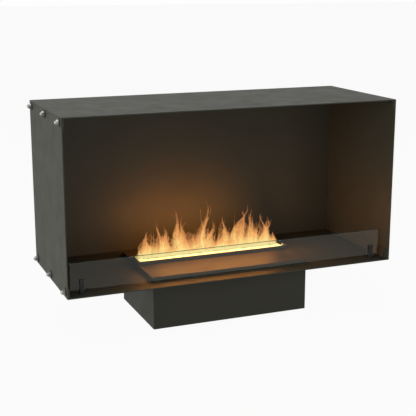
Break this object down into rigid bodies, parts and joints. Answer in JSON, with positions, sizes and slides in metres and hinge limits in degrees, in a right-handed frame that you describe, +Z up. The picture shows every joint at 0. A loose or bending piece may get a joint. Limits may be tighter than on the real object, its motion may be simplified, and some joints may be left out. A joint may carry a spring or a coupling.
{
  "type": "water vapour fireplace",
  "caption": "Open-fronted black steel hearth casing with a low glass screen and a lit mist burner whose tank, blowers and electronics hang in a housing below.",
  "frame": {"origin": "middle of the lower housing's footprint, on the surface that it stands on", "axes": "+X along the width, to the right seen from the front; -Y out of the open front; +Z up"},
  "size_m": [1.0272, 0.39, 0.628],
  "materials": {
    "casing_black": "satin powder coat",
    "housing_black": "satin powder coat",
    "tray_black": "satin powder coat",
    "polished_steel": "polished",
    "washer_black": "matt",
    "zinc_steel": "zinc plated",
    "clear_glass": "clear toughened",
    "black_plastic": "moulded",
    "clear_rubber": "soft",
    "grey_plastic": "moulded",
    "tank_plastic": "translucent moulded",
    "diffuser_glow": "opal, lit from below",
    "circuit_board": "solder mask",
    "led_glow": "lit",
    "ceramic_steel": "satin",
    "float_foam": "moulded",
    "aluminium": "satin"
  },
  "bodies": {
    "frame": {"side_panel_left": "casing_black", "side_panel_right": "casing_black", "top_panel": "casing_black", "back_panel": "casing_black", "floor_panel": "casing_black", "cap_nuts_left": "polished_steel", "cap_nuts_right": "polished_steel", "bolt_washers": "washer_black", "casing_bolts": "zinc_steel", "glass_clips": "black_plastic", "glass_clip_pads": "clear_rubber", "base_housing": "housing_black", "base_bottom_plate": "housing_black", "base_screws": "zinc_steel", "tray_frame": "tray_black", "rear_deck": "tray_black", "nozzle_bar": "tray_black", "flame_diffuser": "diffuser_glow", "mist_throat": "grey_plastic", "led_boards": "circuit_board", "led_chips": "led_glow", "mist_chamber": "grey_plastic", "mist_chamber_lid": "grey_plastic", "led_heatsinks": "aluminium", "feed_pipe": "clear_rubber", "mist_transducers": "ceramic_steel", "float_stem": "grey_plastic", "fan_frame_left": "black_plastic", "fan_frame_right": "black_plastic", "water_tank": "tank_plastic", "tank_lid": "tank_plastic", "power_supply": "zinc_steel", "control_board": "circuit_board", "board_standoffs": "zinc_steel", "board_components": "black_plastic", "power_inlet": "black_plastic", "inlet_pins": "zinc_steel", "switch_frame": "black_plastic"},
    "glass": {"glass_screen": "clear_glass"},
    "front_lid": {"front_deck_lid": "tray_black"},
    "float": {"float_ring": "float_foam"},
    "fan_left": {"fan_rotor_left": "black_plastic"},
    "fan_right": {"fan_rotor_right": "black_plastic"},
    "filler_cap": {"filler_cap": "black_plastic"},
    "drain_knob": {"drain_knob": "black_plastic"},
    "rocker": {"power_rocker": "black_plastic"}
  },
  "joints": [
    {"name": "glass_lift", "type": "slide", "parent": "frame", "child": "glass", "axis": [0, 0, 1], "range_m": [0, 0.06]},
    {"name": "front_lid_lift", "type": "slide", "parent": "frame", "child": "front_lid", "axis": [0, 0, 1], "range_m": [0, 0.05]},
    {"name": "float_rise", "type": "slide", "parent": "frame", "child": "float", "axis": [0, 0, 1], "range_m": [0, 0.02]},
    {"name": "fan_spin_left", "type": "hinge", "parent": "frame", "child": "fan_left", "pos_m": [-0.11, 0.053, 0.092], "axis": [0, 1, 0], "continuous": true},
    {"name": "fan_spin_right", "type": "hinge", "parent": "frame", "child": "fan_right", "pos_m": [0.11, 0.053, 0.092], "axis": [0, 1, 0], "continuous": true},
    {"name": "filler_cap_turn", "type": "hinge", "parent": "frame", "child": "filler_cap", "pos_m": [-0.15, -0.072, 0.135], "axis": [0, 0, 1], "range_deg": [0, 90]},
    {"name": "drain_turn", "type": "hinge", "parent": "frame", "child": "drain_knob", "pos_m": [0.25, -0.072, 0.018], "axis": [1, 0, 0], "range_deg": [0, 90]},
    {"name": "power_rocker_tilt", "type": "hinge", "parent": "frame", "child": "rocker", "pos_m": [-0.16, 0.1425, 0.04], "axis": [1, 0, 0], "range_deg": [0, 20]}
  ]
}
